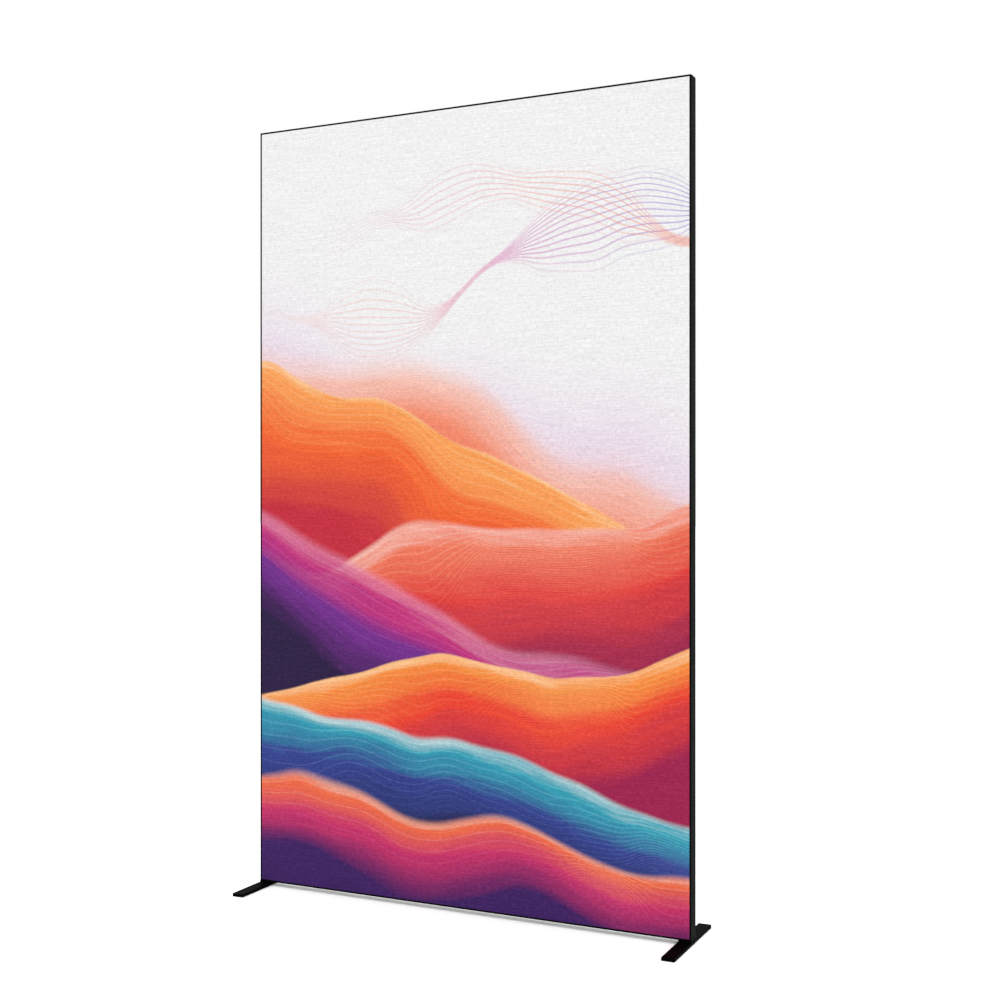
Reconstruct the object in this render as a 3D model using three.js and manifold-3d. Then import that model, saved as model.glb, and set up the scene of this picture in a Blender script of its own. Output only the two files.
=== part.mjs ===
// A free-standing display wall: a mitred frame of double-sided extrusion, with a textile stretched
// over its front and its back, on two flat steel feet. Millimetres, +Z up, and the print faces -Y.
// The origin is on the floor, under the middle of the wall.

import * as THREE from 'three';
import { mergeVertices } from 'three/addons/utils/BufferGeometryUtils.js';
import Module from 'manifold-3d';

// The frame, outside.
const frameWidth = 1500;
const frameHeight = 2500;
const frameDepth = 43;
const mitreGap = 0.2; // each mitred end stays this far short of the corner's diagonal

// Clearances.
const fitGap = 0.3; // between pieces that push into, or lie against, each other
const cutOverrun = 2; // how far a cutting shape passes the face that it cuts

// The extrusion's section, from its outer face inwards. Two slots for the textiles' edges open
// to the front and the back, and a channel for the connectors opens to the inside of the frame.
const outerWall = 5; // its edge shows as the thin border round the print
const slotWidth = 4;
const slotDepth = 15.5;
const slotFloor = 1.6;
const slotLeadIn = 0.6; // the bevel that the textile slides over
const channelFloor = 1.8;
const channelWidth = 18;
const channelHeight = 10;
const channelWall = 1.8;
const channelLip = 1.8;
const channelMouth = 9.6;
const edgeRadius = 0.8;
const edgeSegments = 3;

// The textiles, each with a silicone strip sewn along its four edges.
const textileThickness = 0.4;
const textileRecess = 0.2; // the textile lies this far behind the frame's edge
const foldRadius = 1.2;
const foldSegments = 4;
const stripCornerGap = 12; // an upright strip ends this far short of the strips along the rails

// The corner brackets and their grub screws, which press on the channel's floor.
const bracketLeg = 90;
const bracketCornerRadius = 4;
const bracketTipBevel = 1.5;
const grubDiameter = 6;
const grubLength = 10;
const grubSocket = 3; // across flats
const grubSocketDepth = 4;
const grubPlaces = [52, 82]; // from the frame's outer side
const grubSides = 16;

// The stiffening bar at half height, and the T-shaped connectors that hold its ends.
const barSetback = 6.5; // from the frame's front and back edges
const barHeight = 20;
const barWall = 2;
const barCornerRadius = 2.5;
const barCornerSegments = 2;
const headLength = 84;
const headCornerRadius = 3;
const headGrubPlace = 31; // from the middle of the head
const stemLength = 52;
const stemTipBevel = 1;
const barScrewPlace = 26; // from the bar's end
const barScrewDiameter = 5;
const barScrewLength = 9;
const barScrewHead = 9.5;
const barScrewHeadHeight = 2.6;
const barScrewCrown = 6; // the flat on top of the head
const barScrewCrownSegments = 3;
const barScrewSocket = 3;
const barScrewSocketDepth = 1.6;

// The feet, with a spacer on each and two countersunk screws up into the corner bracket.
const footLength = 350;
const footWidth = 40;
const footThickness = 10;
const footOverhang = 1; // past the frame's outer side
const footCornerRadius = 3;
const footCornerSegments = 4;
const footEdgeBevel = 0.8;
const footEdgeSegments = 2;
const spacerThickness = 4;
const footScrewDiameter = 6;
const footScrewLength = 30;
const footScrewHead = 12;
const footScrewRim = 0.4; // the head's upright edge below its cone
const footScrewRecess = 0.5; // the head stays this far above the floor
const footScrewSocket = 4;
const footScrewSocketDepth = 2.2;
const footScrewPlaces = [17, 31]; // from the frame's outer side
const screwSides = 20;

// Levels and distances that follow from the values above.
const face = frameDepth / 2;
const slotInside = outerWall + slotWidth;
const channelBottom = slotInside + channelFloor;
const lipBottom = channelBottom + channelHeight;
const sectionHeight = lipBottom + channelLip;
const frameBase = footThickness + spacerThickness;
const innerEdge = face - textileRecess - textileThickness - fitGap; // of the slot's inner wall
const textileInset = outerWall + fitGap;
const stripInset = textileInset + textileThickness + fitGap;
const stripThickness = slotInside - fitGap - stripInset;
const stripHeight = slotDepth - textileRecess - textileThickness - 2 * fitGap;
const legStart = channelBottom + fitGap;
const legThickness = lipBottom - fitGap - legStart;
const legWidth = channelWidth - 2 * fitGap;
const grubHole = grubDiameter / 2 + fitGap;
const footScrewHole = footScrewDiameter / 2 + fitGap;
const barScrewHole = barScrewDiameter / 2 + fitGap;
const barStart = sectionHeight + fitGap;
const barDepth = frameDepth - 2 * barSetback;
const footCentre = footWidth / 2 - footOverhang; // from the frame's outer side

// The finishes, each with its colour, roughness and metalness.
const finishes = {
  blackProfile: [0x232523, 0.5, 0.3],
  blackSteel: [0x1b1c1c, 0.55, 0.3],
  castAluminium: [0x9a9c9d, 0.45, 0.9],
  screwSteel: [0x3a3b3d, 0.4, 0.9],
  barAluminium: [0xb4b6b7, 0.4, 0.9],
  silicone: [0xd8dad8, 0.6, 0],
  print: [0xe4683c, 0.85, 0],
  lining: [0xf1f0ee, 0.9, 0],
};

const wasm = await Module();
wasm.setup();

// A mesh with a name and a finish of its own.
function piece(name, geometry, finish) {
  const [color, roughness, metalness] = finishes[finish];
  const mesh = new THREE.Mesh(geometry, new THREE.MeshStandardMaterial({ color, roughness, metalness }));
  mesh.name = name;
  return mesh;
}

function solidOf(geometry) {
  const bare = geometry.clone();
  bare.deleteAttribute('normal');
  bare.deleteAttribute('uv');
  const merged = mergeVertices(bare);
  return new wasm.Manifold(new wasm.Mesh({
    numProp: 3,
    vertProperties: new Float32Array(merged.attributes.position.array),
    triVerts: new Uint32Array(merged.index.array),
  }));
}

function geometryOf(solid) {
  const mesh = solid.getMesh();
  const geometry = new THREE.BufferGeometry();
  geometry.setAttribute('position', new THREE.BufferAttribute(mesh.vertProperties, 3));
  geometry.setIndex(new THREE.BufferAttribute(mesh.triVerts, 1));
  geometry.computeVertexNormals();
  return geometry;
}

// The geometry less each of the cutting shapes.
function cutBy(geometry, cutters) {
  let solid = solidOf(geometry);
  for (const cutter of cutters) {
    solid = solid.subtract(solidOf(cutter));
  }
  return geometryOf(solid);
}

// A round or hexagonal rod along +Z that starts at the origin.
function rod(radius, length, sides) {
  const geometry = new THREE.CylinderGeometry(radius, radius, length, sides);
  geometry.rotateX(Math.PI / 2);
  geometry.translate(0, 0, length / 2);
  return geometry;
}

// Turns an extrusion so that its length runs along +X, its section's X along Y and its Y along Z.
function layAlongX(geometry) {
  geometry.rotateY(Math.PI / 2);
  geometry.rotateX(Math.PI / 2);
}

// A hexagon's corner radius from its width across the flats.
function hexRadius(acrossFlats) {
  return acrossFlats / Math.sqrt(3);
}

// A rectangle round the origin, with its corners as arcs.
function roundedRectangle(width, height, radius) {
  const x = width / 2;
  const y = height / 2;
  const shape = new THREE.Shape();
  shape.moveTo(radius - x, -y);
  shape.lineTo(x - radius, -y);
  shape.absarc(x - radius, radius - y, radius, -Math.PI / 2, 0, false);
  shape.lineTo(x, y - radius);
  shape.absarc(x - radius, y - radius, radius, 0, Math.PI / 2, false);
  shape.lineTo(radius - x, y);
  shape.absarc(radius - x, y - radius, radius, Math.PI / 2, Math.PI, false);
  shape.lineTo(-x, radius - y);
  shape.absarc(radius - x, radius - y, radius, Math.PI, 1.5 * Math.PI, false);
  return shape;
}

// The extrusion's section: X runs inwards from the outer face, and Y from the front to the back.
function profileSection() {
  const wallOutside = channelWidth / 2 + channelWall;
  const half = [
    [outerWall, face],
    [outerWall, face - slotDepth],
    [slotInside, face - slotDepth],
    [slotInside, innerEdge - slotLeadIn],
    [slotInside + slotLeadIn, innerEdge],
    [channelBottom, innerEdge],
    [channelBottom, wallOutside],
    [sectionHeight, wallOutside],
    [sectionHeight, channelMouth / 2],
    [lipBottom, channelMouth / 2],
    [lipBottom, channelWidth / 2],
    [channelBottom, channelWidth / 2],
  ];
  const shape = new THREE.Shape();
  shape.moveTo(0, edgeRadius - face);
  shape.absarc(edgeRadius, edgeRadius - face, edgeRadius, Math.PI, 1.5 * Math.PI, false);
  for (const [inwards, across] of half) {
    shape.lineTo(inwards, -across);
  }
  for (const [inwards, across] of [...half].reverse()) {
    shape.lineTo(inwards, across);
  }
  shape.lineTo(edgeRadius, face);
  shape.absarc(edgeRadius, face - edgeRadius, edgeRadius, Math.PI / 2, Math.PI, false);
  const coreHalf = face - slotDepth - slotFloor;
  const core = new THREE.Path();
  core.moveTo(outerWall, -coreHalf);
  core.lineTo(outerWall, coreHalf);
  core.lineTo(slotInside, coreHalf);
  core.lineTo(slotInside, -coreHalf);
  core.closePath();
  shape.holes.push(core);
  return shape;
}

// A length of the extrusion along Z, round the origin, with both ends mitred: a point of the
// section ends as much short of the full length as it lies inwards from the outer face.
function mitredProfile(length) {
  const geometry = new THREE.ExtrudeGeometry(profileSection(), {
    depth: length,
    bevelEnabled: false,
    curveSegments: edgeSegments,
  });
  const position = geometry.attributes.position;
  for (let i = 0; i < position.count; i += 1) {
    const reach = length / 2 - mitreGap - position.getX(i);
    position.setZ(i, position.getZ(i) > length / 2 ? reach : -reach);
  }
  geometry.computeVertexNormals();
  return geometry;
}

// The bottom rail is drilled for the foot screws, through its outer wall and the channel's floor.
function drilledProfile(length) {
  const drills = [];
  for (const place of footScrewPlaces) {
    for (const end of [-1, 1]) {
      const drill = rod(footScrewHole, channelBottom + 2 * cutOverrun, screwSides);
      drill.rotateY(Math.PI / 2);
      drill.translate(-cutOverrun, 0, end * (length / 2 - place));
      drills.push(drill);
    }
  }
  return cutBy(mitredProfile(length), drills);
}

// The silicone strip in one slot. It lies on the slot's floor, inside the textile's turned edge.
function edgeStrip(length, front) {
  const geometry = new THREE.BoxGeometry(stripThickness, stripHeight, length);
  const middle = face - slotDepth + fitGap + stripHeight / 2;
  geometry.translate(stripInset + stripThickness / 2, front ? -middle : middle, 0);
  return geometry;
}

// A textile stretched flat, with its four edges folded back into the slots. Rectangles that
// shrink by an inset and step back by a depth are joined into one closed skin.
function stretchedTextile() {
  const width = frameWidth - 2 * textileInset;
  const height = frameHeight - 2 * textileInset;
  const turn = slotDepth - textileRecess - fitGap;
  const loops = [];
  for (let i = 0; i <= foldSegments; i += 1) {
    const angle = (Math.PI / 2) * (i / foldSegments);
    loops.push([foldRadius * (1 - Math.sin(angle)), foldRadius * (1 - Math.cos(angle))]);
  }
  const inside = foldRadius - textileThickness;
  loops.push([0, turn], [textileThickness, turn]);
  for (let i = foldSegments; i >= 0; i -= 1) {
    const angle = (Math.PI / 2) * (i / foldSegments);
    loops.push([foldRadius - inside * Math.sin(angle), foldRadius - inside * Math.cos(angle)]);
  }
  const points = [];
  for (const [inset, depth] of loops) {
    const x = width / 2 - inset;
    const z = height / 2 - inset;
    points.push(-x, depth, -z, x, depth, -z, x, depth, z, -x, depth, z);
  }
  const last = 4 * (loops.length - 1);
  const faces = [0, 1, 2, 0, 2, 3, last, last + 2, last + 1, last, last + 3, last + 2];
  for (let loop = 0; loop < last; loop += 4) {
    for (let i = 0; i < 4; i += 1) {
      const here = loop + i;
      const next = loop + ((i + 1) % 4);
      faces.push(here, here + 4, next + 4, here, next + 4, next);
    }
  }
  const geometry = new THREE.BufferGeometry();
  geometry.setAttribute('position', new THREE.Float32BufferAttribute(points, 3));
  geometry.setIndex(faces);
  geometry.computeVertexNormals();
  return geometry;
}

// A grub screw along +Z, with a hexagon socket in its far end.
function grubScrew() {
  const socket = rod(hexRadius(grubSocket), grubSocketDepth + cutOverrun, 6);
  socket.translate(0, 0, grubLength - grubSocketDepth);
  return cutBy(rod(grubDiameter / 2, grubLength, grubSides), [socket]);
}

// An L-shaped corner bracket, in the frame of its corner: its legs run along +X and +Z from the
// frame's outer corner, inside the two channels.
function cornerBracket(forFoot) {
  const end = legStart + bracketLeg;
  const inner = legStart + legThickness;
  const outline = new THREE.Shape();
  outline.moveTo(legStart + bracketCornerRadius, legStart);
  outline.lineTo(end - bracketTipBevel, legStart);
  outline.lineTo(end, legStart + bracketTipBevel);
  outline.lineTo(end, inner - bracketTipBevel);
  outline.lineTo(end - bracketTipBevel, inner);
  outline.lineTo(inner, inner);
  outline.lineTo(inner, end - bracketTipBevel);
  outline.lineTo(inner - bracketTipBevel, end);
  outline.lineTo(legStart + bracketTipBevel, end);
  outline.lineTo(legStart, end - bracketTipBevel);
  outline.lineTo(legStart, legStart + bracketCornerRadius);
  const centre = legStart + bracketCornerRadius;
  outline.absarc(centre, centre, bracketCornerRadius, Math.PI, 1.5 * Math.PI, false);
  const body = new THREE.ExtrudeGeometry(outline, {
    depth: legWidth,
    bevelEnabled: false,
    curveSegments: edgeSegments,
  });
  body.rotateX(Math.PI / 2);
  body.translate(0, legWidth / 2, 0);
  const drills = [];
  const drillLength = legThickness + 2 * cutOverrun;
  for (const place of grubPlaces) {
    const level = rod(grubHole, drillLength, grubSides);
    const upright = level.clone();
    level.translate(place, 0, legStart - cutOverrun);
    upright.rotateY(Math.PI / 2);
    upright.translate(legStart - cutOverrun, 0, place);
    drills.push(level, upright);
  }
  for (const place of forFoot ? footScrewPlaces : []) {
    const drill = rod(footScrewHole, drillLength, screwSides);
    drill.translate(place, 0, legStart - cutOverrun);
    drills.push(drill);
  }
  return cutBy(body, drills);
}

// A closed tube along X for the stiffening bar, drilled at both ends of its back wall.
function stiffeningBar(length) {
  const section = roundedRectangle(barDepth, barHeight, barCornerRadius);
  const bore = barCornerRadius - barWall;
  section.holes.push(roundedRectangle(barDepth - 2 * barWall, barHeight - 2 * barWall, bore));
  const tube = new THREE.ExtrudeGeometry(section, {
    depth: length,
    bevelEnabled: false,
    curveSegments: barCornerSegments,
  });
  layAlongX(tube);
  tube.translate(-length / 2, 0, 0);
  const drills = [-1, 1].map((end) => {
    const drill = rod(barScrewHole, barWall + 2 * cutOverrun, screwSides);
    drill.rotateX(-Math.PI / 2);
    drill.translate(end * (length / 2 - barScrewPlace), barDepth / 2 - barWall - cutOverrun, 0);
    return drill;
  });
  return cutBy(tube, drills);
}

// The T-shaped connector at the left end of the bar, with X inwards from the frame's outer side.
// Its head slides in the upright's channel, and its neck passes the channel's mouth.
function barConnector() {
  const outline = roundedRectangle(legWidth, headLength, headCornerRadius);
  const head = new THREE.ExtrudeGeometry(outline, {
    depth: legThickness,
    bevelEnabled: false,
    curveSegments: edgeSegments,
  });
  layAlongX(head);
  head.translate(legStart, 0, 0);
  const stemDepth = barDepth - 2 * barWall - 2 * fitGap;
  const stemHeight = barHeight - 2 * barWall - 2 * fitGap;
  const neckStart = legStart + legThickness / 2;
  const neck = new THREE.BoxGeometry(barStart + cutOverrun - neckStart, channelMouth - 2 * fitGap, stemHeight);
  neck.translate((barStart + cutOverrun + neckStart) / 2, 0, 0);
  const blank = roundedRectangle(stemDepth - 2 * stemTipBevel, stemHeight - 2 * stemTipBevel, stemTipBevel);
  const stem = new THREE.ExtrudeGeometry(blank, {
    depth: stemLength - 2 * stemTipBevel,
    bevelThickness: stemTipBevel,
    bevelSize: stemTipBevel,
    bevelSegments: 1,
    curveSegments: 1,
  });
  layAlongX(stem);
  stem.translate(barStart + stemTipBevel, 0, 0);
  let solid = solidOf(head).add(solidOf(neck)).add(solidOf(stem));
  for (const side of [-1, 1]) {
    const drill = rod(grubHole, legThickness + 2 * cutOverrun, grubSides);
    drill.rotateY(Math.PI / 2);
    drill.translate(legStart - cutOverrun, 0, side * headGrubPlace);
    solid = solid.subtract(solidOf(drill));
  }
  const tapping = rod(barScrewHole, barScrewLength + cutOverrun, screwSides);
  tapping.rotateX(-Math.PI / 2);
  tapping.translate(barStart + barScrewPlace, barDepth / 2 - barScrewLength, 0);
  return geometryOf(solid.subtract(solidOf(tapping)));
}

// A button-head screw: its head lies in +Y of the origin, and its shank runs along -Y. From its
// rim to the flat on top, the head is a quarter of an ellipse.
function buttonScrew() {
  const flat = barScrewCrown / 2;
  const swell = barScrewHead / 2 - flat;
  const profile = [
    new THREE.Vector2(0, -barScrewLength),
    new THREE.Vector2(barScrewDiameter / 2, -barScrewLength),
    new THREE.Vector2(barScrewDiameter / 2, 0),
  ];
  for (let i = 0; i <= barScrewCrownSegments; i += 1) {
    const angle = (Math.PI / 2) * (i / barScrewCrownSegments);
    profile.push(new THREE.Vector2(flat + swell * Math.cos(angle), barScrewHeadHeight * Math.sin(angle)));
  }
  profile.push(new THREE.Vector2(0, barScrewHeadHeight));
  const socket = rod(hexRadius(barScrewSocket), barScrewSocketDepth + cutOverrun, 6);
  socket.rotateX(-Math.PI / 2);
  socket.translate(0, barScrewHeadHeight - barScrewSocketDepth, 0);
  return cutBy(new THREE.LatheGeometry(profile, screwSides), [socket]);
}

// A countersunk screw's outline, turned about +Z: an upright rim, a cone of 45 degrees and a shank.
function countersunk(wide, narrow, rim, length) {
  const profile = [
    new THREE.Vector2(0, 0),
    new THREE.Vector2(wide, 0),
    new THREE.Vector2(wide, rim),
    new THREE.Vector2(narrow, rim + wide - narrow),
    new THREE.Vector2(narrow, length),
    new THREE.Vector2(0, length),
  ];
  const geometry = new THREE.LatheGeometry(profile, screwSides);
  geometry.rotateX(Math.PI / 2);
  return geometry;
}

function footScrew() {
  const socket = rod(hexRadius(footScrewSocket), footScrewSocketDepth + cutOverrun, 6);
  socket.translate(0, 0, -cutOverrun);
  const blank = countersunk(footScrewHead / 2, footScrewDiameter / 2, footScrewRim, footScrewLength);
  return cutBy(blank, [socket]);
}

// The foot: a flat bar with softened edges, countersunk from below. X is measured from the
// frame's outer side.
function footBar() {
  const blank = roundedRectangle(
    footWidth - 2 * footEdgeBevel,
    footLength - 2 * footEdgeBevel,
    footCornerRadius - footEdgeBevel,
  );
  const bar = new THREE.ExtrudeGeometry(blank, {
    depth: footThickness - 2 * footEdgeBevel,
    bevelThickness: footEdgeBevel,
    bevelSize: footEdgeBevel,
    bevelSegments: footEdgeSegments,
    curveSegments: footCornerSegments,
  });
  bar.translate(footCentre, 0, footEdgeBevel);
  const drills = footScrewPlaces.map((place) => {
    const drill = countersunk(
      footScrewHead / 2 + fitGap,
      footScrewHole,
      footScrewRecess + footScrewRim + cutOverrun,
      footThickness + 2 * cutOverrun,
    );
    drill.translate(place, 0, -cutOverrun);
    return drill;
  });
  return cutBy(bar, drills);
}

function footSpacer() {
  const block = new THREE.BoxGeometry(footWidth, frameDepth, spacerThickness);
  block.translate(footCentre, 0, footThickness + spacerThickness / 2);
  const drills = footScrewPlaces.map((place) => {
    const drill = rod(footScrewHole, spacerThickness + 2 * cutOverrun, screwSides);
    drill.translate(place, 0, footThickness - cutOverrun);
    return drill;
  });
  return cutBy(block, drills);
}

const wall = new THREE.Group();

// Each side of the frame is built as the left one and turned about Y. Its X runs inwards.
const sides = [
  { name: 'left_upright', label: 'left', long: frameHeight, away: frameWidth / 2, turn: 0 },
  { name: 'top_rail', label: 'top', long: frameWidth, away: frameHeight / 2, turn: Math.PI / 2 },
  { name: 'right_upright', label: 'right', long: frameHeight, away: frameWidth / 2, turn: Math.PI },
  { name: 'bottom_rail', label: 'bottom', long: frameWidth, away: frameHeight / 2, turn: -Math.PI / 2 },
];

const frame = new THREE.Group();
frame.position.z = frameBase + frameHeight / 2;
wall.add(frame);

for (const { name, label, long, away, turn } of sides) {
  const side = new THREE.Group();
  side.rotation.y = turn;
  const shape = label === 'bottom' ? drilledProfile(long) : mitredProfile(long);
  const stripShort = label === 'left' || label === 'right'
    ? stripInset + stripThickness + stripCornerGap
    : stripInset;
  const members = [
    piece(name, shape, 'blackProfile'),
    piece(`front_${label}_edge_strip`, edgeStrip(long - 2 * stripShort, true), 'silicone'),
    piece(`back_${label}_edge_strip`, edgeStrip(long - 2 * stripShort, false), 'silicone'),
  ];
  for (const member of members) {
    member.position.x = -away;
    side.add(member);
  }
  frame.add(side);
}

// The two textiles. The back one is the front one turned half round the wall's upright axis.
const frontPrint = piece('front_print', stretchedTextile(), 'print');
frontPrint.position.y = textileRecess - face;
frame.add(frontPrint);
const backTurn = new THREE.Group();
backTurn.rotation.z = Math.PI;
const backLining = piece('back_lining', stretchedTextile(), 'lining');
backLining.position.y = textileRecess - face;
backTurn.add(backLining);
frame.add(backTurn);

// The corners, each built as the bottom left one: its legs run along +X and +Z.
const corners = [
  { name: 'bottom_left', x: -1, z: -1, turn: [0, 0, 0] },
  { name: 'bottom_right', x: 1, z: -1, turn: [0, 0, Math.PI] },
  { name: 'top_left', x: -1, z: 1, turn: [Math.PI, 0, 0] },
  { name: 'top_right', x: 1, z: 1, turn: [0, Math.PI, 0] },
];

for (const { name, x, z, turn } of corners) {
  const corner = new THREE.Group();
  corner.position.set((x * frameWidth) / 2, 0, (z * frameHeight) / 2);
  corner.rotation.set(...turn);
  corner.add(piece(`${name}_corner_bracket`, cornerBracket(z < 0), 'castAluminium'));
  grubPlaces.forEach((place, index) => {
    const level = piece(`${name}_rail_grub_screw_${index + 1}`, grubScrew(), 'screwSteel');
    level.position.set(place, 0, legStart);
    const upright = piece(`${name}_upright_grub_screw_${index + 1}`, grubScrew(), 'screwSteel');
    upright.position.set(legStart, 0, place);
    upright.rotation.y = Math.PI / 2;
    corner.add(level, upright);
  });
  frame.add(corner);
}

// The stiffening bar across the middle, and what holds each end of it.
frame.add(piece('stiffening_bar', stiffeningBar(frameWidth - 2 * barStart), 'barAluminium'));
for (const { name, turn } of [{ name: 'left', turn: 0 }, { name: 'right', turn: Math.PI }]) {
  const hold = new THREE.Group();
  hold.rotation.y = turn;
  const fixed = new THREE.Group();
  fixed.position.x = -frameWidth / 2;
  hold.add(fixed);
  fixed.add(piece(`${name}_bar_connector`, barConnector(), 'castAluminium'));
  for (const [place, end] of [[headGrubPlace, 'upper'], [-headGrubPlace, 'lower']]) {
    const which = turn === 0 ? end : { upper: 'lower', lower: 'upper' }[end];
    const grub = piece(`${name}_connector_${which}_grub_screw`, grubScrew(), 'screwSteel');
    grub.position.set(legStart, 0, place);
    grub.rotation.y = Math.PI / 2;
    fixed.add(grub);
  }
  const screw = piece(`${name}_bar_screw`, buttonScrew(), 'screwSteel');
  screw.position.set(barStart + barScrewPlace, barDepth / 2 + fitGap, 0);
  fixed.add(screw);
  frame.add(hold);
}

// The feet, each built as the left one, with X inwards from the frame's outer side.
for (const { name, turn } of [{ name: 'left', turn: 0 }, { name: 'right', turn: Math.PI }]) {
  const end = new THREE.Group();
  end.rotation.z = turn;
  const stand = new THREE.Group();
  stand.position.x = -frameWidth / 2;
  end.add(stand);
  stand.add(piece(`${name}_foot`, footBar(), 'blackSteel'));
  stand.add(piece(`${name}_foot_spacer`, footSpacer(), 'blackSteel'));
  footScrewPlaces.forEach((place, index) => {
    const screw = piece(`${name}_foot_screw_${index + 1}`, footScrew(), 'screwSteel');
    screw.position.set(place, 0, footScrewRecess);
    stand.add(screw);
  });
  wall.add(end);
}

export default wall;
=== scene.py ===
"""The looks of a free-standing textile wall: a slim black frame, a printed cloth stretched over its
front, a plain one over its back, and two flat feet. Metres, +Z up, and the print faces -Y."""

import math
from collections import namedtuple

import bpy
import numpy as np
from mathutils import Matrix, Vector


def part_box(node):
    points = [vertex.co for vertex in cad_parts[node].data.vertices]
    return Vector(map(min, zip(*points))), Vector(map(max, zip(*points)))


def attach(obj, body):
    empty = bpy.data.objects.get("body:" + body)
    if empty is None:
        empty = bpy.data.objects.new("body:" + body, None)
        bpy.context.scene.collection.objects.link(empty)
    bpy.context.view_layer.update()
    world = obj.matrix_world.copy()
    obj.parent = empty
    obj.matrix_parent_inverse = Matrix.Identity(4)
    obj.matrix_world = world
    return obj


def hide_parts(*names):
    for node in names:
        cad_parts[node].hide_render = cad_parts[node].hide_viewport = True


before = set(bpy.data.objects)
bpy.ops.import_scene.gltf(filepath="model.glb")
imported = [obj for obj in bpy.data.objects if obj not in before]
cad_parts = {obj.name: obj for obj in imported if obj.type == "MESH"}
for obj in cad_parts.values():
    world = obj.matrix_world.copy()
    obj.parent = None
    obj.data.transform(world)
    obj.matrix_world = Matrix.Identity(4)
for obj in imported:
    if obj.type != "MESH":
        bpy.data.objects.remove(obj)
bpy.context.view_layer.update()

# The camera, fitted to the corners of the wall and its feet.
CAMERA_PLACE = (1.9827, -3.8668, 1.2868)
CAMERA_TURN = 0.447  # radians to the left of straight ahead
CAMERA_LENS_MM = 50
CAMERA_SENSOR_MM = 36
CAMERA_CLIP_END = 200.0

# The light: an even pale sky, and one broad soft lamp from behind the camera.
SKY_STRENGTH = 0.78
LAMP_STRENGTH = 1.0
LAMP_SPREAD = 0.6  # radians across
LAMP_WAY = Vector((-0.43, 0.88, -0.2))  # the way its light goes

# The floor, and the share of the light that it throws back.
FLOOR_REACH = 60.0  # from its middle to each side
FLOOR_LEVEL = -0.0002
FLOOR_SHARE = 0.85
FLOOR_SHARE_IN_GLOSS = 1.2
FLOOR_EXTRA_FOR_CAMERA = 1.0
LEAN_START = 0.0005  # how far before the frame the floor's colour starts to lean
LEAN_RUN = 0.02  # from there to where it leans in full
LEAN_COLOUR = (0.97, 1.05, 1.01, 1.0)  # linear, and times the floor's own
WHITE = (1.0, 1.0, 1.0, 1.0)

# The cloths' shape.
CLOTH_THICKNESS = 0.0004
FOLD_RADIUS = 0.0012
FOLD_STEPS = 4
TURN_STEPS = 2
CELL = 0.012  # between neighbouring points of the flat part
PUCKER_DEPTH = 0.00015  # how far a stitch of the edge strip draws the cloth in
PUCKER_PITCH = 0.048
PUCKER_REACH = 0.035
SAME_PLACE_DIGITS = 7  # points that agree to this many digits are one
TINY = 1e-9  # far less than any step between points

# A noise runs from 0 to 1, and nearly all of it lies between these two.
NOISE_LOW = 0.3
NOISE_HIGH = 0.7
NOISE_MIDDLE = 0.5

# Mix nodes name their colour sockets twice, so they are picked by number.
MIX_FACTOR = 0
MIX_FIRST = 6
MIX_SECOND = 7
MIX_RESULT = 2


def linear(colour, alpha=1.0):
    """An sRGB colour such as #D8DAD8 as linear red, green and blue, with an alpha."""
    shares = [int(colour[at : at + 2], 16) / 255 for at in (1, 3, 5)]
    values = [s / 12.92 if s <= 0.04045 else ((s + 0.055) / 1.055) ** 2.4 for s in shares]
    return (*values, alpha)


def add(tree, kind, inputs=None, stops=None, **settings):
    """Adds a node, sets its properties, and gives each input a value or a link.

    An input is named or numbered. A node given as a value means its first output. Stops are places,
    colours and alphas along a colour ramp."""
    node = tree.nodes.new("ShaderNode" + kind)
    for name, value in settings.items():
        setattr(node, name, value)
    for key, value in (inputs or {}).items():
        if isinstance(value, bpy.types.Node):
            value = value.outputs[0]
        if isinstance(value, bpy.types.NodeSocket):
            tree.links.new(value, node.inputs[key])
        else:
            node.inputs[key].default_value = value
    if stops:
        elements = node.color_ramp.elements
        while len(elements) < len(stops):
            elements.new(1.0)
        for element, (place, colour, alpha) in zip(elements, stops):
            element.position = place
            element.color = linear(colour, alpha)
    return node


def new_material(name, colour, **finish):
    """A material with its node tree and its shader. Finish holds the shader's fixed values."""
    material = bpy.data.materials.new(name)
    material.use_nodes = True
    material.diffuse_color = linear(colour)
    tree = material.node_tree
    shader = tree.nodes["Principled BSDF"]
    shader.inputs["Base Color"].default_value = linear(colour)
    for key, value in finish.items():
        shader.inputs[key.replace("_", " ")].default_value = value
    return material, tree, shader


def connect(tree, shader, **sources):
    """Links each node's first output to the shader's input of that name."""
    for key, node in sources.items():
        tree.links.new(node.outputs[0], shader.inputs[key.replace("_", " ")])


def new_object(name, data):
    """Puts a mesh, lamp or camera into the scene, at the origin."""
    made = bpy.data.objects.new(name, data)
    bpy.context.scene.collection.objects.link(made)
    return made


# The print: silk-like waves in the tones of warm and cool dyes, one behind the other, and ribbons of
# fine lines over the pale part. All are drawn on places that a slow noise has moved a little, so
# that no form is quite regular.
GROUND = "#F3F3F3"
DRIFT = 0.22  # how far a place is moved, from one end of the noise to the other
DRIFT_MARKS = 1.6  # per metre

# Where a wave's crest or a ribbon's middle line runs: its height at mid-width, its rise per metre to
# the right, how far it swings, the length of a swing, and where in the noise it starts.
Course = namedtuple("Course", "height rise swing length start")
COURSE_MARKS_UP = 0.25  # per metre: how slowly a course changes with the height

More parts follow.
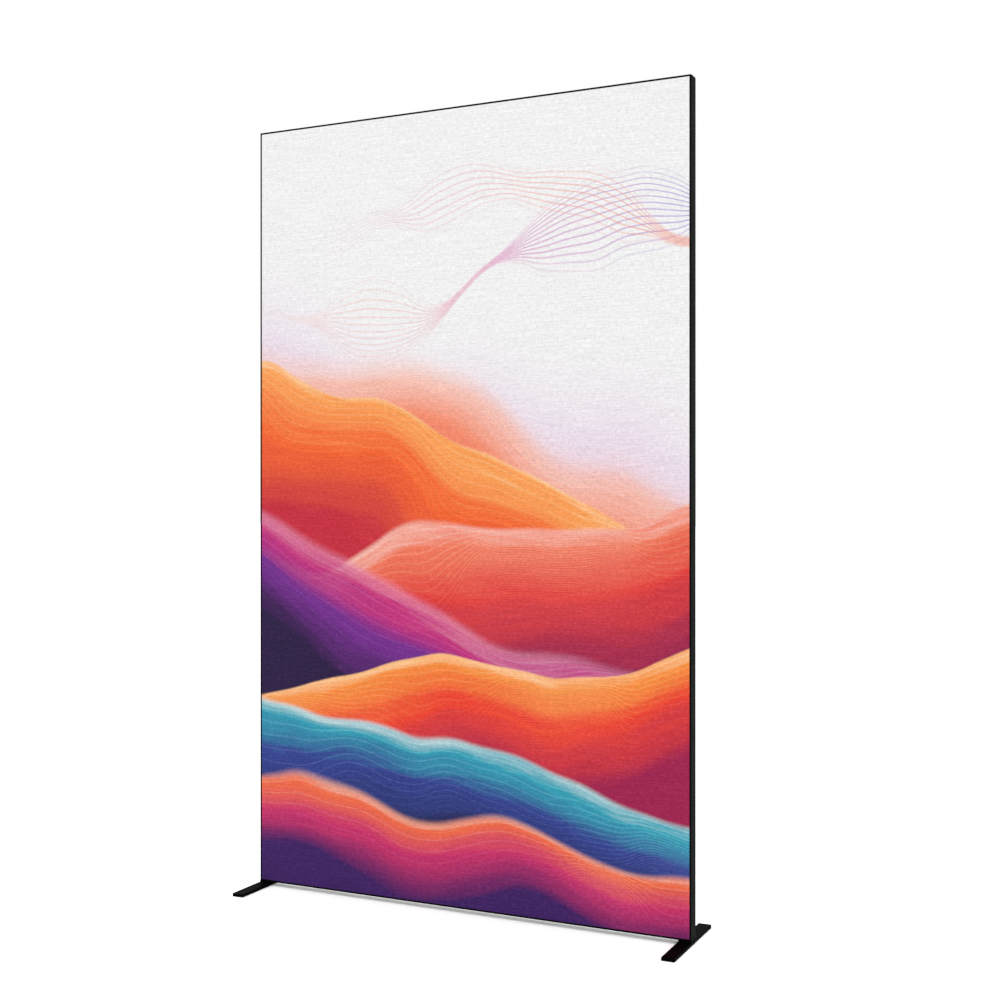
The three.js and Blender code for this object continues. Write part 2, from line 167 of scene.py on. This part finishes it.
# A wave's course, the softness of its edge, the depth over which its colours run, the strength of
# its fine folds, and its colours with their cover from the crest downwards. The haze is the wave at
# the very back, and the others stand one before the other.
Wave = namedtuple("Wave", "course softness depth folds colours")
HAZE = Wave(Course(1.95, -0.20, 0.55, 0.90, 3.1), 0.50, 0.80, 0.25, [
    (0.0, "#F1EAF3", 0.5), (0.45, "#E7D3EA", 0.7), (1.0, "#E3B4D2", 0.85)])
WAVES = [
    Wave(Course(1.66, -0.30, 0.50, 0.80, 14.7), 0.16, 0.50, 0.35, [
        (0.0, "#FBD9CF", 0.35), (0.3, "#F9B49A", 0.8), (0.6, "#F58A6A", 1.0), (1.0, "#E2503F", 1.0)]),
    Wave(Course(1.43, -0.34, 0.42, 0.62, 23.4), 0.012, 0.46, 0.45, [
        (0.0, "#FFD3A0", 1.0), (0.1, "#FBA257", 1.0), (0.45, "#F4622B", 1.0), (1.0, "#C6283A", 1.0)]),
    Wave(Course(1.20, 0.14, 0.46, 0.75, 37.9), 0.02, 0.46, 0.45, [
        (0.0, "#F9B8AA", 0.95), (0.12, "#F27A5C", 1.0), (0.45, "#E23A35", 1.0), (1.0, "#8C1B4E", 1.0)]),
    Wave(Course(0.98, -0.24, 0.50, 0.95, 45.2), 0.05, 0.42, 0.45, [
        (0.0, "#F3A3C4", 0.55), (0.25, "#C22D7E", 0.9), (0.55, "#72288C", 1.0), (1.0, "#24113F", 1.0)]),
    Wave(Course(0.76, 0.16, 0.40, 0.66, 58.8), 0.010, 0.36, 0.50, [
        (0.0, "#FFC48A", 1.0), (0.12, "#F98E3C", 1.0), (0.5, "#EE3F2B", 1.0), (1.0, "#9E1B4C", 1.0)]),
    Wave(Course(0.53, -0.20, 0.36, 0.80, 66.3), 0.02, 0.34, 0.45, [
        (0.0, "#BDE6EA", 0.9), (0.16, "#2FA0B6", 1.0), (0.42, "#2F3F8F", 1.0), (1.0, "#120E30", 1.0)]),
    Wave(Course(0.27, -0.16, 0.30, 0.70, 79.5), 0.03, 0.25, 0.40, [
        (0.0, "#FBC6AE", 0.9), (0.16, "#F26B45", 1.0), (0.5, "#CB2E68", 1.0), (1.0, "#3A1760", 1.0)]),
]
FOLD_MARKS = (1.3, 11.0, 1.0)  # per metre along the crest and below it, and from wave to wave

# A ribbon's course, its half width where it is narrowest and widest, its lines on each side of the
# middle, and their colours with their cover from left to right.
Ribbon = namedtuple("Ribbon", "course narrow wide lines colours")
RIBBONS = [
    Ribbon(Course(2.00, 0.20, 0.50, 0.85, 7.7), 0.012, 0.20, 8, [
        (0.0, "#F6B59A", 0.0), (0.25, "#F3A08C", 0.35), (0.6, "#DE86BE", 0.6), (1.0, "#9B82D6", 0.65)]),
    Ribbon(Course(2.16, -0.10, 0.36, 0.70, 21.3), 0.008, 0.12, 5, [
        (0.0, "#E9A6CF", 0.0), (0.35, "#E39BCB", 0.25), (0.7, "#F08F73", 0.5), (1.0, "#F2794F", 0.55)]),
]
RIBBON_FADE_SHARE = 0.35  # of its half width, from where its lines fade towards its sides

# Fine lines. Their spacing has a noise of its own, with swings a little shorter than the course's.
LINE_WIDTH = 0.0032
LINE_CORE = LINE_WIDTH / 4  # fully inked as far as this from its middle
RIBBON_SPREAD_SHARE = 0.7  # of the length of the course's swings
RIBBON_SPREAD_START = 40.0
CREST_SPREAD_SHARE = 0.8
CREST_SPREAD_START = 60.0
CREST_PITCH_LEAST = 0.007
CREST_PITCH_MOST = 0.034
CREST_LINE_COVER = 0.5
CREST_LINE_REACH_SHARE = 0.8  # of the wave's depth, where the lines have faded away
PALER = 0.6  # the power that makes a wave's colour its lines' colour

# A place on the print: its vector, and that vector's two parts.
Place = namedtuple("Place", "vector across up")


def along_width(tree, place, length, start):
    """A smooth noise from 0 to 1 along the width, nearly the same at any height."""
    slid = add(tree, "Mapping", {"Vector": place.vector, "Location": (start, start, 0.0),
                                 "Scale": (1 / length, COURSE_MARKS_UP, 1.0)})
    return add(tree, "TexNoise", {"Vector": slid, "Scale": 1.0, "Detail": 1.5, "Roughness": 0.4},
               noise_dimensions="2D")


def height_of(tree, place, course):
    """The height at which a course runs: its height at mid-width, plus its rise times the place
    across, plus its swing times a smooth noise along the width, less half of the swing."""
    swell = along_width(tree, place, course.length, course.start)
    sloped = add(tree, "Math", {0: place.across, 1: course.rise, 2: course.height - course.swing / 2},
                 operation="MULTIPLY_ADD")
    return add(tree, "Math", {0: swell, 1: course.swing, 2: sloped}, operation="MULTIPLY_ADD")


def changing_size(tree, place, length, start, least, most):
    """A size that goes between the least and the most with a smooth noise along the width."""
    spread = along_width(tree, place, length, start)
    return add(tree, "MapRange", {"Value": spread, "From Min": NOISE_LOW, "From Max": NOISE_HIGH,
                                  "To Min": least, "To Max": most}, interpolation_type="SMOOTHSTEP")


def fine_lines(tree, distance, pitch):
    """How much of a set of parallel lines covers a place, from 0 to 1. The distance over the pitch,
    folded to and fro between 0 and a half, is 0 on every line. Times the pitch that is a distance in
    metres, and the cover fades to nothing over one width of a line."""
    counted = add(tree, "Math", {0: distance, 1: pitch}, operation="DIVIDE")
    folded = add(tree, "Math", {0: counted, 1: 0.5}, operation="PINGPONG")
    away = add(tree, "Math", {0: folded, 1: pitch}, operation="MULTIPLY")
    return add(tree, "MapRange", {"Value": away, "From Min": LINE_CORE, "From Max": LINE_WIDTH,
                                  "To Min": 1.0, "To Max": 0.0}, interpolation_type="SMOOTHSTEP")


def ribbon_over(tree, place, colour, ribbon):
    """The colour with a ribbon of fine lines laid over it.

    The ribbon's half width changes along its course, and the lines' pitch is an equal share of it.
    The distance from the middle line, over the half width, says how far the lines have faded. The
    place across, from one side of the frame to the other, picks their colour."""
    length, start = ribbon.course.length, ribbon.course.start
    half = changing_size(tree, place, length * RIBBON_SPREAD_SHARE, start + RIBBON_SPREAD_START,
                         ribbon.narrow, ribbon.wide)
    middle = height_of(tree, place, ribbon.course)
    above = add(tree, "Math", {0: place.up, 1: middle}, operation="SUBTRACT")
    share = add(tree, "Math", {0: above, 1: half}, operation="DIVIDE")
    outward = add(tree, "Math", {0: share}, operation="ABSOLUTE")
    within = add(tree, "MapRange", {"Value": outward, "From Min": RIBBON_FADE_SHARE, "From Max": 1.0,
                                    "To Min": 1.0, "To Max": 0.0}, interpolation_type="SMOOTHSTEP")
    pitch = add(tree, "Math", {0: half, 1: 1 / ribbon.lines}, operation="MULTIPLY")
    line = fine_lines(tree, above, pitch)
    faded = add(tree, "Math", {0: line, 1: within}, operation="MULTIPLY")
    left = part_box("left_upright")[0].x
    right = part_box("right_upright")[1].x
    side = add(tree, "MapRange", {"Value": place.across, "From Min": left, "From Max": right})
    dye = add(tree, "ValToRGB", {"Fac": side}, stops=ribbon.colours)
    cover = add(tree, "Math", {0: faded, 1: dye.outputs["Alpha"]}, operation="MULTIPLY")
    mixed = add(tree, "Mix", {MIX_FACTOR: cover, MIX_FIRST: colour, MIX_SECOND: dye}, data_type="RGBA")
    return mixed.outputs[MIX_RESULT]


def wave_over(tree, place, colour, wave):
    """The colour with a wave laid over it.

    The depth below the crest, over the wave's own depth, picks the wave's colour, moved a little by
    a finer noise that is long along the crest and short across it. Paler fine lines follow the
    crest and fade downwards. The wave covers what lies behind it by its colour's cover, faded in
    over the softness of its edge."""
    length, start = wave.course.length, wave.course.start
    crest = height_of(tree, place, wave.course)
    below = add(tree, "Math", {0: crest, 1: place.up}, operation="SUBTRACT")
    edge = add(tree, "MapRange", {"Value": below, "From Min": 0.0, "From Max": wave.softness},
               interpolation_type="SMOOTHSTEP")
    strand = add(tree, "CombineXYZ", {"X": place.across, "Y": below})
    combed = add(tree, "Mapping", {"Vector": strand, "Location": (start, 0.0, start), "Scale": FOLD_MARKS})
    fold = add(tree, "TexNoise", {"Vector": combed, "Scale": 1.0, "Detail": 4.0, "Roughness": 0.66,
                                  "Distortion": 0.35}, noise_dimensions="3D")
    deep = add(tree, "Math", {0: below, 1: 1 / wave.depth, 2: -wave.folds / 2}, operation="MULTIPLY_ADD")
    tone = add(tree, "Math", {0: fold, 1: wave.folds, 2: deep}, operation="MULTIPLY_ADD")
    dye = add(tree, "ValToRGB", {"Fac": tone}, stops=wave.colours)
    pitch = changing_size(tree, place, length * CREST_SPREAD_SHARE, start + CREST_SPREAD_START,
                          CREST_PITCH_LEAST, CREST_PITCH_MOST)
    line = fine_lines(tree, below, pitch)
    near = add(tree, "MapRange", {"Value": below, "From Min": wave.softness,
                                  "From Max": wave.depth * CREST_LINE_REACH_SHARE,
                                  "To Min": CREST_LINE_COVER, "To Max": 0.0})
    drawn = add(tree, "Math", {0: line, 1: near}, operation="MULTIPLY")
    pale = add(tree, "Gamma", {"Color": dye, "Gamma": PALER})
    inked = add(tree, "Mix", {MIX_FACTOR: drawn, MIX_FIRST: dye, MIX_SECOND: pale}, data_type="RGBA")
    cover = add(tree, "Math", {0: edge, 1: dye.outputs["Alpha"]}, operation="MULTIPLY")
    mixed = add(tree, "Mix", {MIX_FACTOR: cover, MIX_FIRST: colour,
                              MIX_SECOND: inked.outputs[MIX_RESULT]}, data_type="RGBA")
    return mixed.outputs[MIX_RESULT]


def printed(tree, place):
    """The print's colour at a place on the cloth, in metres across and up: the white ground, a haze,
    the ribbons of lines, and the waves in front of them."""
    drift = add(tree, "TexNoise", {"Vector": place, "Scale": DRIFT_MARKS, "Detail": 1.0},
                noise_dimensions="3D")
    centred = add(tree, "VectorMath", {0: drift.outputs["Color"], 1: (NOISE_MIDDLE,) * 3},
                  operation="SUBTRACT")
    moved = add(tree, "VectorMath", {0: centred, 1: (DRIFT, DRIFT, 0.0), 2: place},
                operation="MULTIPLY_ADD")
    apart = add(tree, "SeparateXYZ", {"Vector": moved})
    spot = Place(moved, apart.outputs["X"], apart.outputs["Y"])
    colour = wave_over(tree, spot, linear(GROUND), HAZE)
    for ribbon in RIBBONS:
        colour = ribbon_over(tree, spot, colour, ribbon)
    for wave in WAVES:
        colour = wave_over(tree, spot, colour, wave)
    return colour


# The plain cloth: its own white, a little greyer in patches.
PATCH_SIZE = 0.3


def undyed(tree, place):
    """The plain cloth's colour at a place."""
    patch = add(tree, "TexNoise", {"Vector": place, "Scale": 1 / PATCH_SIZE, "Detail": 1.0},
                noise_dimensions="2D")
    return add(tree, "ValToRGB", {"Fac": patch}, stops=[(0.2, "#EEEDEB", 1.0), (0.8, "#F2F1EF", 1.0)])


# The weave: the real spacing of the threads, how many times as coarse they are drawn, and for each
# kind of thread the size of a mark across and up, in spacings, and its share of the height.
THREAD_SPACING_MM = 0.4
THREAD_COARSENING = 10
THREADS = [
    (3.8, 0.95, 0.42),
    (0.92, 5.0, 0.30),
    (31.0, 1.05, 0.28),
]
PAINTED_SHADE_BETWEEN_THREADS = 0.815  # of the colour, between the threads: painted shade
PAINTED_HIGHLIGHT_ON_THREADS = 1.125  # on top of them: painted highlight
HIGHLIGHT_FROM = 0.46  # the thread height from where a painted highlight starts
HIGHLIGHT_TO = 0.62
HIGHLIGHT_SHARE = 0.1  # how far the colour is mixed there towards its paler square root, as painted highlight


def weave(tree, place):
    """How high the cloth's threads stand at a place, from 0 to 1: short level threads, upright ones,
    and long level rows, each a noise that is long along its thread and short across it. The real
    threads are too fine to show from this far, so the main ones are drawn ten times as coarse, as
    the photograph shows the cloth, and each noise's finer steps go down to half a millimetre for a
    close look."""
    spacings = 1000 / (THREAD_SPACING_MM * THREAD_COARSENING)
    height = 0.0
    for across, up, share in THREADS:
        way = add(tree, "Mapping", {"Vector": place, "Scale": (spacings / across, spacings / up, 1.0)})
        thread = add(tree, "TexNoise", {"Vector": way, "Scale": 1.0, "Detail": 3.0}, noise_dimensions="2D")
        height = add(tree, "Math", {0: thread, 1: share, 2: height}, operation="MULTIPLY_ADD")
    return height


def woven_polyester(name, colour_of):
    """Woven display cloth of matt polyester: no gloss, a soft bloom at a low angle, and threads that
    catch the light as a fine grain of short level streaks. The grain is partly bump and partly painted
    light: painted shade darkens the colour between the threads, and a painted highlight lightens it on
    top of them. Where the threads stand highest, a further painted highlight is drawn as a thinner
    dye: half as much of it gives the square root of its colour."""
    material, tree, shader = new_material(
        name, GROUND, Roughness=0.88, Specular_IOR_Level=0.25, Sheen_Weight=0.08, Sheen_Roughness=0.5)
    place = add(tree, "UVMap", uv_map="cloth")
    threads = weave(tree, place)
    # Painted shade between the threads and painted highlight on top of them, as a factor on the colour.
    painted_thread_light = add(tree, "MapRange", {"Value": threads, "From Min": NOISE_LOW, "From Max": NOISE_HIGH,
                                   "To Min": PAINTED_SHADE_BETWEEN_THREADS, "To Max": PAINTED_HIGHLIGHT_ON_THREADS})
    full_dye = colour_of(tree, place)
    # A paler tone of the colour, mixed in where the threads stand highest as painted highlight.
    highlight_tone = add(tree, "Gamma", {"Color": full_dye, "Gamma": 0.5})
    painted_thread_highlight = add(tree, "MapRange", {"Value": threads, "From Min": HIGHLIGHT_FROM, "From Max": HIGHLIGHT_TO,
                                   "To Min": 0.0, "To Max": HIGHLIGHT_SHARE})
    dye_with_painted_highlight = add(tree, "Mix", {MIX_FACTOR: painted_thread_highlight, MIX_FIRST: full_dye, MIX_SECOND: highlight_tone},
               data_type="RGBA")
    # The colour times that factor of painted light.
    colour_with_painted_light = add(tree, "VectorMath", {0: dye_with_painted_highlight.outputs[MIX_RESULT], "Scale": painted_thread_light}, operation="SCALE")
    bump = add(tree, "Bump", {"Height": threads, "Strength": 0.25, "Distance": 0.0006})
    connect(tree, shader, Base_Color=colour_with_painted_light, Normal=bump)
    return material


# The grains of the coat, the patches where it is a little smoother, the clouds in the silicone, and
# how deep the marks on metal and silicone are.
COAT_GRAIN_MM = 0.5
COAT_PATCHES = 9.0  # per metre
SILICONE_CLOUD_MM = 15
MARK_DEPTH = 0.0002


def coated_metal(name, dark, pale, coarsening, roughness, spread, gloss):
    """Metal under a baked coat of matt black powder: a dull, even black with the fine pebbled skin of
    the melted grains, a little smoother here and there. The real grains are too fine to show, and
    coarsening says how many times as coarse they are drawn."""
    material, tree, shader = new_material(name, dark, Specular_IOR_Level=gloss)
    place = add(tree, "TexCoord").outputs["Object"]
    grain = add(tree, "TexNoise", {"Vector": place, "Scale": 1000 / (COAT_GRAIN_MM * coarsening),
                                   "Detail": 2.0})
    patch = add(tree, "TexNoise", {"Vector": place, "Scale": COAT_PATCHES, "Detail": 2.0})
    tone = add(tree, "ValToRGB", {"Fac": grain}, stops=[(NOISE_LOW, dark, 1.0), (NOISE_HIGH, pale, 1.0)])
    rough = add(tree, "MapRange", {"Value": patch, "To Min": roughness - spread,
                                   "To Max": roughness + spread})
    bump = add(tree, "Bump", {"Height": grain, "Strength": 0.5, "Distance": MARK_DEPTH})
    connect(tree, shader, Base_Color=tone, Roughness=rough, Normal=bump)
    return material


def bare_metal(name, dark, pale, marks_mm, roughness, spread):
    """Uncoated metal with the marks of its making. Their sizes along X, Y and Z are alike for a cast
    or blasted skin, and long one way for a drawn one."""
    material, tree, shader = new_material(name, pale, Metallic=1.0)
    place = add(tree, "TexCoord").outputs["Object"]
    scale = tuple(1000 / size for size in marks_mm)
    stretched = add(tree, "Mapping", {"Vector": place, "Scale": scale})
    marks = add(tree, "TexNoise", {"Vector": stretched, "Scale": 1.0, "Detail": 3.0})
    tone = add(tree, "ValToRGB", {"Fac": marks}, stops=[(NOISE_LOW, dark, 1.0), (NOISE_HIGH, pale, 1.0)])
    rough = add(tree, "MapRange", {"Value": marks, "To Min": roughness - spread,
                                   "To Max": roughness + spread})
    bump = add(tree, "Bump", {"Height": marks, "Strength": 0.15, "Distance": MARK_DEPTH})
    connect(tree, shader, Base_Color=tone, Roughness=rough, Normal=bump)
    return material


def moulded_silicone(name):
    """Extruded silicone strip: milky, a little see-through at its edges, with a dull soft gloss."""
    material, tree, shader = new_material(
        name, "#DFE0DC", Roughness=0.5, Subsurface_Weight=0.15, Subsurface_Scale=0.002)
    place = add(tree, "TexCoord").outputs["Object"]
    cloud = add(tree, "TexNoise", {"Vector": place, "Scale": 1000 / SILICONE_CLOUD_MM, "Detail": 2.0})
    tone = add(tree, "ValToRGB", {"Fac": cloud},
               stops=[(NOISE_LOW, "#D3D5D1", 1.0), (NOISE_HIGH, "#E4E5E2", 1.0)])
    bump = add(tree, "Bump", {"Height": cloud, "Strength": 0.1, "Distance": MARK_DEPTH})
    connect(tree, shader, Base_Color=tone, Normal=bump)
    return material


def along_cloth(half_size, turned):
    """Places and depths along one way of a cloth, measured from its middle along the cloth itself.

    Up to the fold the place is that distance and the depth is nought. Round the fold the cloth
    goes outwards by the radius times the sine of its turn, and back by the radius times one less
    the cosine. Past it, it runs straight back."""
    flat = half_size - FOLD_RADIUS
    arc = FOLD_RADIUS * math.pi / 2
    count = round(2 * flat / CELL)
    inner = np.linspace(-flat, flat, count + 1)
    round_fold = flat + np.linspace(0, arc, FOLD_STEPS + 1)[1:]
    down = flat + arc + np.linspace(0, turned - FOLD_RADIUS, TURN_STEPS + 1)[1:]
    outer = np.concatenate([round_fold, down])
    distance = np.concatenate([-outer[::-1], inner, outer])
    past = np.maximum(np.abs(distance) - flat, 0)
    turn = np.minimum(past, arc) / FOLD_RADIUS
    place = np.sign(distance) * (np.minimum(np.abs(distance), flat) + FOLD_RADIUS * np.sin(turn))
    depth = FOLD_RADIUS * (1 - np.cos(turn)) + np.maximum(past - arc, 0)
    straight = past > arc + TINY
    return distance, place, depth, straight


def pucker(to_edge, along_edge):
    """How much of a stitch's pull reaches a point: a raised cosine along the edge, times e to the
    power of minus the distance from the edge over the pull's reach."""
    return np.exp(-to_edge / PUCKER_REACH) * (0.5 - 0.5 * np.cos(along_edge * 2 * math.pi / PUCKER_PITCH))


def grid_mesh(name, points, cloth_map, cut_out):
    """A mesh with a quad for each cell of a grid of points, less the cells that are cut out. Points
    that lie in the same place are made one, and the map gives each its place on the cloth."""
    rows, columns = points.shape[:2]
    number = np.arange(rows * columns).reshape(rows, columns)
    quads = np.stack([number[:-1, :-1], number[:-1, 1:], number[1:, 1:], number[1:, :-1]], axis=-1)
    quads = quads[~cut_out].reshape(-1, 4)
    listed = points.reshape(-1, 3)
    _, kept, merged = np.unique(
        np.round(listed, SAME_PLACE_DIGITS), axis=0, return_index=True, return_inverse=True)
    used, faces = np.unique(merged.reshape(-1)[quads], return_inverse=True)
    mesh = bpy.data.meshes.new(name)
    mesh.from_pydata(listed[kept[used]].tolist(), [], faces.reshape(-1, 4).tolist())
    layer = mesh.uv_layers.new(name="cloth")
    layer.data.foreach_set("uv", cloth_map.reshape(-1, 2)[quads.reshape(-1)].astype(np.float32).ravel())
    mesh.shade_smooth()
    return mesh


def cloth_surface(low, high, toward):
    """A cloth pulled flat over one side of the frame, with its four edges turned into the slots: its
    points, their places on the flat cloth, the cells that are cut out, and its flat size.

    Each point has a place across, a place up and the larger of the two depths. The corner squares,
    where both ways have turned, are cut out as on the real cloth. Close to the edges the cloth dips
    by the puckers of the strip's stitches. Toward is -1 for the front and 1 for the back, which is
    the front turned half round."""
    middle = (low + high) / 2
    width = high.x - low.x
    height = high.z - low.z
    turned = high.y - low.y
    across, x, x_depth, x_straight = along_cloth(width / 2, turned)
    up, z, z_depth, z_straight = along_cloth(height / 2, turned)
    shape = (len(up), len(across))
    grid_x = np.broadcast_to(x, shape)
    grid_z = np.broadcast_to(z[:, None], shape)
    to_side = width / 2 - np.abs(grid_x)
    to_end = height / 2 - np.abs(grid_z)
    off_fold = np.clip(np.minimum(to_side, to_end) / FOLD_RADIUS - 1, 0, 1)
    dip = PUCKER_DEPTH * (pucker(to_side, grid_z) + pucker(to_end, grid_x)) * off_fold
    depth = np.maximum(x_depth[None, :], z_depth[:, None]) + dip
    edge_y = low.y if toward < 0 else high.y
    points = np.stack([-toward * grid_x + middle.x, edge_y - toward * depth, grid_z + middle.z], axis=-1)
    cloth_map = np.stack(
        [np.broadcast_to(across, shape), np.broadcast_to(up[:, None], shape) + middle.z], axis=-1)
    cut_out = (x_straight[:-1] | x_straight[1:])[None, :] & (z_straight[:-1] | z_straight[1:])[:, None]
    flat_size = (float(2 * across[-1]), float(2 * up[-1]))
    return points, cloth_map, cut_out, flat_size


def stretched_cloth(name, node, toward):
    """A cloth on one side of the frame, in the place of its node's plain solid, with its flat size."""
    low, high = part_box(node)
    points, cloth_map, cut_out, flat_size = cloth_surface(low, high, toward)
    cloth = new_object(name, grid_mesh(name, points, cloth_map, cut_out))
    wall = cloth.modifiers.new("thickness", "SOLIDIFY")
    wall.thickness = CLOTH_THICKNESS
    wall.offset = -1.0  # inwards
    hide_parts(node)
    return cloth, flat_size


# The cloths, each pressed into the slots of the four sides of the frame: the cloth's name, the node
# that it takes the place of, the way that it faces, its material and colour, and its slot.
CLOTHS = [
    ("front_cloth", "front_print", -1, "printed_polyester", printed, "printed_textile"),
    ("back_cloth", "back_lining", 1, "plain_polyester", undyed, "plain_textile"),
]
for name, node, toward, material, colour_of, slot in CLOTHS:
    cloth, flat_size = stretched_cloth(name, node, toward)
    cloth.data.materials.append(woven_polyester(material, colour_of))
    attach(cloth, "root")

# The metal and silicone pieces keep their solids and get their finishes. A piece takes the first
# finish whose word its name holds, and the screws' names also hold the words of what they are in.
coated_profile = coated_metal(
    "powder_coated_profile", "#030404", "#090C0B", coarsening=5, roughness=0.6, spread=0.1, gloss=0.03)
coated_foot = coated_metal(
    "powder_coated_steel", "#020202", "#060707", coarsening=6, roughness=0.55, spread=0.1, gloss=0.011)
cast_aluminium = bare_metal(
    "die_cast_aluminium", "#8E9091", "#A9ABAC", marks_mm=(4, 4, 4), roughness=0.5, spread=0.08)
drawn_aluminium = bare_metal(
    "mill_finish_aluminium", "#A2A5A7", "#C2C4C5", marks_mm=(160, 1.2, 1.2), roughness=0.35, spread=0.06)
black_steel = bare_metal(
    "black_oxide_steel", "#26272A", "#3B3C3F", marks_mm=(1.5, 1.5, 1.5), roughness=0.38, spread=0.06)
silicone = moulded_silicone("extruded_silicone")
FINISHES = [
    ("screw", black_steel),
    ("edge_strip", silicone),
    ("corner_bracket", cast_aluminium),
    ("bar_connector", cast_aluminium),
    ("stiffening_bar", drawn_aluminium),
    ("foot", coated_foot),
    ("upright", coated_profile),
    ("rail", coated_profile),
]
replaced = [node for _, node, *_ in CLOTHS]
for name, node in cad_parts.items():
    if name not in replaced:
        node.data.materials.clear()
        node.data.materials.append(next(finish for word, finish in FINISHES if word in name))


def pale_floor():
    """A plain matt floor. The camera and a gloss see it a little over white, so that the picture is
    white all over, and it keeps the shadow under the frame. The print throws a pink tone on it,
    which the photograph doesn't have, so before the print, and for the camera alone, its colour
    leans the other way."""
    material = bpy.data.materials.new("pale_floor")
    material.use_nodes = True
    tree = material.node_tree
    tree.nodes.clear()
    ray = add(tree, "LightPath")
    gloss = add(tree, "MapRange", {"Value": ray.outputs["Is Glossy Ray"], "To Min": FLOOR_SHARE,
                                   "To Max": FLOOR_SHARE_IN_GLOSS})
    level = add(tree, "Math", {0: ray.outputs["Is Camera Ray"], 1: FLOOR_EXTRA_FOR_CAMERA, 2: gloss},
                operation="MULTIPLY_ADD")
    place = add(tree, "TexCoord").outputs["Object"]
    apart = add(tree, "SeparateXYZ", {"Vector": place})
    lean_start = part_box("bottom_rail")[0].y - LEAN_START
    before = add(tree, "MapRange", {"Value": apart.outputs["Y"], "From Min": lean_start,
                                    "From Max": lean_start - LEAN_RUN})
    leaning = add(tree, "Math", {0: before, 1: ray.outputs["Is Camera Ray"]}, operation="MULTIPLY")
    tone = add(tree, "Mix", {MIX_FACTOR: leaning, MIX_FIRST: WHITE, MIX_SECOND: LEAN_COLOUR},
               data_type="RGBA")
    shown = add(tree, "VectorMath", {0: tone.outputs[MIX_RESULT], "Scale": level}, operation="SCALE")
    matt = add(tree, "BsdfDiffuse", {"Color": shown})
    add(tree, "OutputMaterial", {"Surface": matt})
    return material


floor_mesh = bpy.data.meshes.new("floor")
floor_sides = [(-1, -1), (1, -1), (1, 1), (-1, 1)]
floor_corners = [(x * FLOOR_REACH, y * FLOOR_REACH, FLOOR_LEVEL) for x, y in floor_sides]
floor_mesh.from_pydata(floor_corners, [], [(0, 1, 2, 3)])
floor_mesh.materials.append(pale_floor())
new_object("floor", floor_mesh)

# The sky lights the wall evenly, and looks white to the camera, to a gloss and through a clear piece.
world = bpy.data.worlds.new("studio")
bpy.context.scene.world = world
world.use_nodes = True
sky_tree = world.node_tree
sky_tree.nodes.clear()
ray = add(sky_tree, "LightPath")
direct = add(sky_tree, "Math", {0: ray.outputs["Is Camera Ray"], 1: ray.outputs["Is Glossy Ray"]},
             operation="MAXIMUM")
seen = add(sky_tree, "Math", {0: direct, 1: ray.outputs["Is Transmission Ray"]}, operation="MAXIMUM")
strength = add(sky_tree, "MapRange", {"Value": seen, "To Min": SKY_STRENGTH, "To Max": 1.0})
sky = add(sky_tree, "Background", {"Color": WHITE, "Strength": strength})
add(sky_tree, "OutputWorld", {"Surface": sky})

lamp_data = bpy.data.lights.new("soft_lamp", "SUN")
lamp_data.energy = LAMP_STRENGTH
lamp_data.angle = LAMP_SPREAD
lamp = new_object("soft_lamp", lamp_data)
lamp.rotation_euler = LAMP_WAY.to_track_quat("-Z", "Y").to_euler()

camera_data = bpy.data.cameras.new("camera")
camera_data.lens = CAMERA_LENS_MM
camera_data.sensor_width = CAMERA_SENSOR_MM
camera_data.clip_end = CAMERA_CLIP_END
camera = new_object("camera", camera_data)
camera.location = CAMERA_PLACE
camera.rotation_euler = (math.pi / 2, 0.0, CAMERA_TURN)
bpy.context.scene.camera = camera
bpy.context.scene.view_settings.view_transform = "Standard"
